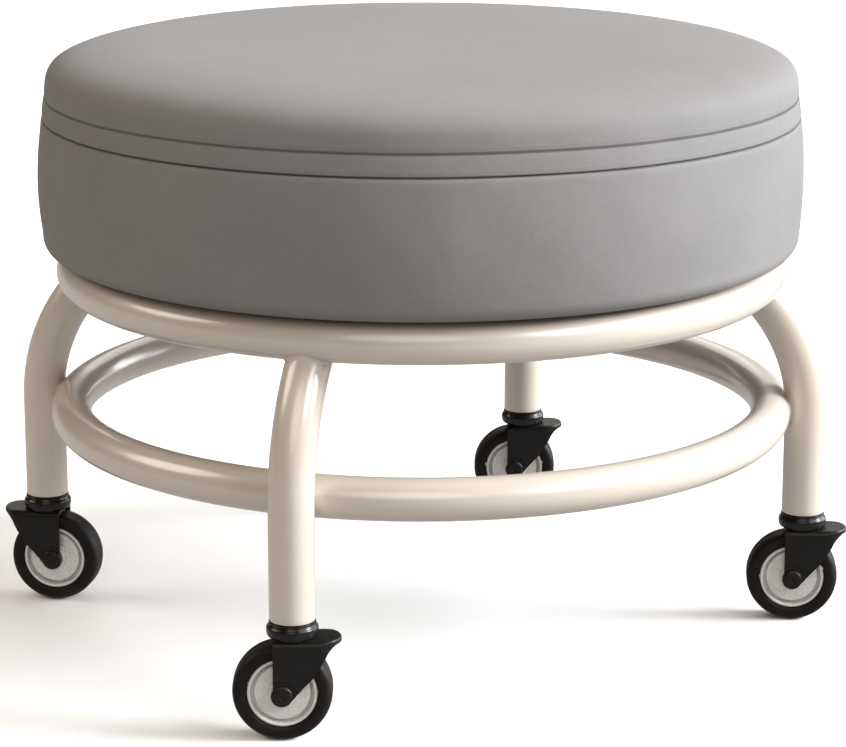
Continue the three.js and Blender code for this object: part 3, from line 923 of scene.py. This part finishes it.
# ------------------------------------------------------------------ casters
def fork_plan(inset, nose_inset=None, steps=26):
    """The fork seen from above, its sides pulled in by inset and its nose by nose_inset."""
    nose_inset = inset if nose_inset is None else nose_inset
    outline = [(FORK_REAR, inset - FORK_HALF)]
    for a in np.linspace(-90, 90, steps):
        a = math.radians(a)
        share = min(1.0, math.cos(a) * 1.6)
        half = FORK_HALF - inset * (1 - share) - nose_inset * share
        outline.append((FORK_NOSE + half * math.cos(a), half * math.sin(a)))
    outline.append((FORK_REAR, FORK_HALF - inset))
    return outline


def stack(name, levels):
    """A closed body through a list of (outline, height)."""
    rows = [np.array([(x, y, z) for x, y in outline]) for outline, z in levels]
    n = len(rows[0])
    verts = np.vstack(rows)
    faces = []
    for i in range(len(rows) - 1):
        for j in range(n):
            k = (j + 1) % n
            faces.append((i * n + j, i * n + k, (i + 1) * n + k, (i + 1) * n + j))
    faces.append(tuple(range(n))[::-1])
    faces.append(tuple(range((len(rows) - 1) * n, len(rows) * n)))
    return new_mesh(name, verts, faces)


def side_prism(name, outline, half):
    """An outline in XZ, closed from -half to half along Y."""
    mesh = prism(name, outline, -half, half)
    mesh.transform(across())
    return mesh


def arc(x, y, r, start, end, steps):
    """Points along an arc round (x, y), from start to end in degrees."""
    return [
        (x + r * math.cos(math.radians(a)), y + r * math.sin(math.radians(a)))
        for a in np.linspace(start, end, steps)
    ]


def bezier(p0, p1, p2, steps):
    """Points along a curve from p0, which is left out, to p2, drawn towards p1."""
    out = []
    for k in range(1, steps + 1):
        t = k / steps
        out.append(
            tuple((1 - t) ** 2 * a + 2 * t * (1 - t) * b + t * t * c for a, b, c in zip(p0, p1, p2))
        )
    return out


def axle_place():
    """Turns a mesh made about Z onto the caster's axle."""
    return Matrix.Translation((-TRAIL * MM, 0, WHEEL_R * MM)) @ across()


BOSS_GROOVE, BOSS_GROOVE_DEPTH = (5.9, 6.6), 0.35  # the ring pressed into each cheek round the axle


def fork_mesh():
    """The pressed fork: a flat crown with a round nose, rounded shoulders, raked cheeks."""
    nose, under = FORK_NOSE + FORK_HALF + 1, CROWN_Z - PLATE
    side = [(nose, CROWN_Z + 4), (FORK_REAR, CROWN_Z + 4), (FORK_REAR, WHEEL_R + 4)]
    side += arc(-TRAIL, WHEEL_R, FORK_BOSS, 165, 325, 22)
    side += [(4.2, WHEEL_R + 2.9), (8.7, WHEEL_R + 7.6), (13.6, CROWN_Z - 7.3)]
    side += bezier((13.6, CROWN_Z - 7.3), (15, CROWN_Z - 3.6), (18, CROWN_Z - 2), 6)
    side += [(nose, CROWN_Z - 1.7)]
    levels = [(fork_plan(0), 5), (fork_plan(0), CROWN_Z - SHOULDER)]
    for a in np.radians((15, 30, 45, 60, 75, 90)):
        cut, drop = SHOULDER * (1 - math.cos(a)), SHOULDER * (1 - math.sin(a))
        levels.append((fork_plan(cut, 0.35 * max(0.0, 1 - drop / 0.5)), CROWN_Z - drop))
    body = stack("fork", levels)
    inner = [(FORK_REAR - 6, y) if x < FORK_REAR + 0.1 else (x, y) for x, y in fork_plan(PLATE)]
    low, high = CROWN_Z - 1, CROWN_Z + DIMPLE_RISE
    dimple = lathe("dimple", [(0, low), (DIMPLE_R, low), (DIMPLE_R, high), (0, high)], 48, closed=False)
    high = under + DIMPLE_RISE
    pocket = lathe("pocket", [(0, 30), (POCKET_R, 30), (POCKET_R, high), (0, high)], 48, closed=False)
    pin_hole, axle_hole = KING_PIN_R + GAP, AXLE_R + GAP
    pin = lathe("pin", [(0, 30), (pin_hole, 30), (pin_hole, 60), (0, 60)], 32, closed=False)
    axle = lathe("axle", [(0, -20), (axle_hole, -20), (axle_hole, 20), (0, 20)], 32, closed=False)
    axle.transform(axle_place())
    body = combine("UNION", body, dimple)
    body = combine("DIFFERENCE", body, prism("inside", inner, 0, under), pocket)
    body = combine("INTERSECT", body, side_prism("side", side, 20))
    inner_r, outer_r = BOSS_GROOVE
    groove = lathe("groove", [(inner_r, -20), (outer_r, -20), (outer_r, 20), (inner_r, 20)], 64)
    groove.transform(axle_place())
    deep = FORK_HALF - BOSS_GROOVE_DEPTH
    waist = prism("waist", [(-30, -deep), (30, -deep), (30, deep), (-30, deep)], 0, CROWN_Z)
    body = combine("DIFFERENCE", body, pin, axle, combine("DIFFERENCE", groove, waist))
    return bevelled(body, 0.3)


def race_cap_mesh():
    """The pressed cap over the balls: level with the tube at its top, with a full belly."""
    outline = [(4.3, 49.45, 0.2), (9.7, 49.45, 0.3), (10.0, 48.6, 0.5), (10.8, 47.6, 1.3)]
    outline += [(10.75, 45.4, 1.5), (10.2, 43.9, 0.5), (9.75, 43.9, 0.2), (9.75, 46.8, 0.3)]
    outline += [(4.3, 46.8, 0.2)]
    return lathe("race_cap", rounded(outline, 6), 96)


def socket_mesh():
    """The insert pressed into the leg, with a thin flange under the tube's end."""
    outline = [(4.4, 49.6, 0.2), (9.75, 49.6, 0.1), (9.75, 50.2, 0.3), (7.7, 50.2, 0.1)]
    outline += [(7.7, 79.4, 0.8), (4.4, 79.4, 0.2)]
    return lathe("socket", rounded(outline, 3), 96)


def rivet_mesh():
    """The axle rivet: a round head outside each cheek, with a dimple in its middle."""
    inner, outer, head = FORK_HALF + 0.02, FORK_HALF + GAP + 1.4, 4.5
    half = [
        (0, outer - 0.4, 0), (0.9, outer - 0.4, 0.2), (1.4, outer, 0.3), (3.6, outer - 0.1, 0.9),
        (head, outer - 0.8, 0.5), (head, inner, 0.2), (2.5, inner, 0.05),
    ]
    outline = half + [(r, -z, c) for r, z, c in half[::-1]]
    return lathe("rivet", rounded(outline, 4), 56, closed=False)


def hub_mesh():
    """The wheel's centre: a dished disc in a rolled rim, with a groove between them."""
    half = [
        (4.0, 7.6, 0.2), (5.4, 7.6, 0.4), (5.8, 4.9, 0.6), (11.5, 5.15, 0.5), (12.0, 2.4, 0.4),
        (12.85, 2.4, 0.4), (13.1, 6.1, 0.5), (14.45, 6.1, 0.6),
    ]
    outline = half + [(r, -z, c) for r, z, c in half[::-1]]
    return lathe("hub", rounded(outline, 5), 96)


def tyre_mesh():
    """The tyre: a flat tread with a fine mould line round its middle and round shoulders."""
    half = [
        (14.7, 6.3, 0.3), (15.7, 6.95, 0.6), (18.4, 7.2, 1.4), (20.05, 5.9, 1.2), (20.6, 3.6, 1.0),
        (20.6, 0.5, 0.15), (20.45, 0.15, 0.1),
    ]
    outline = half + [(r, -z, c) for r, z, c in half[::-1]]
    return lathe("tyre", rounded(outline, 5), 120)


def make_casters():
    """The pieces of the four casters, each on the fork, the wheel or the frame."""
    fork, cap, socket, rivet, hub, tyre = (
        fork_mesh(), race_cap_mesh(), socket_mesh(), rivet_mesh(), hub_mesh(), tyre_mesh()
    )
    for corner, (bearing, heading) in CORNERS.items():
        b = math.radians(bearing)
        stand = Matrix.Translation((LEG_CIRCLE * MM * math.cos(b), LEG_CIRCLE * MM * math.sin(b), 0))
        stand @= Matrix.Rotation(math.radians(heading), 4, "Z")
        axle = stand @ axle_place()
        swivel, wheel = "caster_fork_" + corner, "caster_wheel_" + corner
        piece("socket_" + corner, socket, GLOSS_BLACK, "frame",
              ["leg_socket_" + corner], stand)
        piece("cap_" + corner, cap, GLOSS_BLACK, "frame", ["race_cap_" + corner], stand)
        piece("fork_pressing_" + corner, fork, BLACK_STEEL, swivel,
              ["fork_" + corner], stand, 30)
        piece("rivet_" + corner, rivet, BLACK_STEEL, swivel,
              ["axle_rivet_" + corner], axle, 50)
        piece("hub_" + corner, hub, HUB, wheel, ["rim_" + corner], axle, 50)
        piece("tyre_tread_" + corner, tyre, TYRE, wheel, ["tyre_" + corner], axle, 60)
        for node in ("caster_stem_", "ball_ring_", "axle_bush_"):
            dress(node + corner, ZINC)


# ------------------------------------------------------------------ studio
FLOOR_HALF = 6000


def make_floor():
    """A plain floor that takes the shadows."""
    h = FLOOR_HALF
    mesh = new_mesh("floor", [(-h, -h, 0), (h, -h, 0), (h, h, 0), (-h, h, 0)], [(0, 1, 2, 3)])
    floor = bpy.data.objects.new("floor", mesh)
    mesh.materials.append(FLOOR)
    bpy.context.scene.collection.objects.link(floor)
    # The light and the shine that it throws back up are the world's lower half.
    floor.visible_diffuse = floor.visible_glossy = False


def towards(azimuth, elevation):
    """The direction of a light at an azimuth from the camera's own."""
    a, e = math.radians(CAMERA_AZIMUTH + azimuth), math.radians(elevation)
    return Vector((math.sin(a) * math.cos(e), -math.cos(a) * math.cos(e), math.sin(e)))


BOUNCE, ROOM = 0.58, 0.07  # the world's strength below and above the horizon
COOL, WARM, PALE, SOFT = (0.94, 0.97, 1.0), (1.0, 0.87, 0.74), (1.0, 0.97, 0.93), (1.0, 0.95, 0.9)
SUNS = [  # name, strength, width, azimuth from the camera's and elevation (degrees), colour
    ("key", 5.4, 24, 88, 25, COOL),
    ("far_right", 1.8, 35, 122, 15, COOL),
    ("key_high", 1.1, 32, 85, 48, PALE),
    ("front_right", 1.0, 25, 50, 34, COOL),
    ("front", 0.7, 35, -5, 35, WARM),
    ("left", 1.05, 30, -95, 36, WARM),
    ("back", 0.8, 45, 180, 40, SOFT),
]


def sun_light(name, strength, angle, azimuth, elevation, colour):
    """An even light from one side, as from a very large softbox."""
    data = bpy.data.lights.new(name, "SUN")
    data.energy, data.angle, data.color = strength, math.radians(angle), colour
    light = bpy.data.objects.new(name, data)
    light.rotation_euler = (-towards(azimuth, elevation)).to_track_quat("-Z", "Y").to_euler()
    bpy.context.scene.collection.objects.link(light)


def make_world():
    """A dim room above the horizon, and the floor's soft bounce below it."""
    world = bpy.data.worlds.new("studio")
    bpy.context.scene.world = world
    world.use_nodes = True
    tree = world.node_tree
    where = tree.nodes.new("ShaderNodeTexCoord")
    height = tree.nodes.new("ShaderNodeSeparateXYZ")
    fade = tree.nodes.new("ShaderNodeMapRange")
    tree.links.new(where.outputs["Generated"], height.inputs[0])
    tree.links.new(height.outputs[2], fade.inputs["Value"])
    fade.inputs["From Min"].default_value, fade.inputs["From Max"].default_value = -0.1, 0.1
    fade.inputs["To Min"].default_value, fade.inputs["To Max"].default_value = BOUNCE, ROOM
    tree.links.new(fade.outputs[0], tree.nodes["Background"].inputs[1])
    tree.nodes["Background"].inputs[0].default_value = (1.0, 0.96, 0.92, 1)


def make_studio():
    """The floor, the world and the lights, shown without a film look."""
    make_floor()
    make_world()
    for sun in SUNS:
        sun_light(*sun)
    bpy.context.scene.view_settings.view_transform = "Standard"


make_frame()
make_cushion()
make_dust_cloth()
make_seat_fixings()
make_casters()
make_studio()
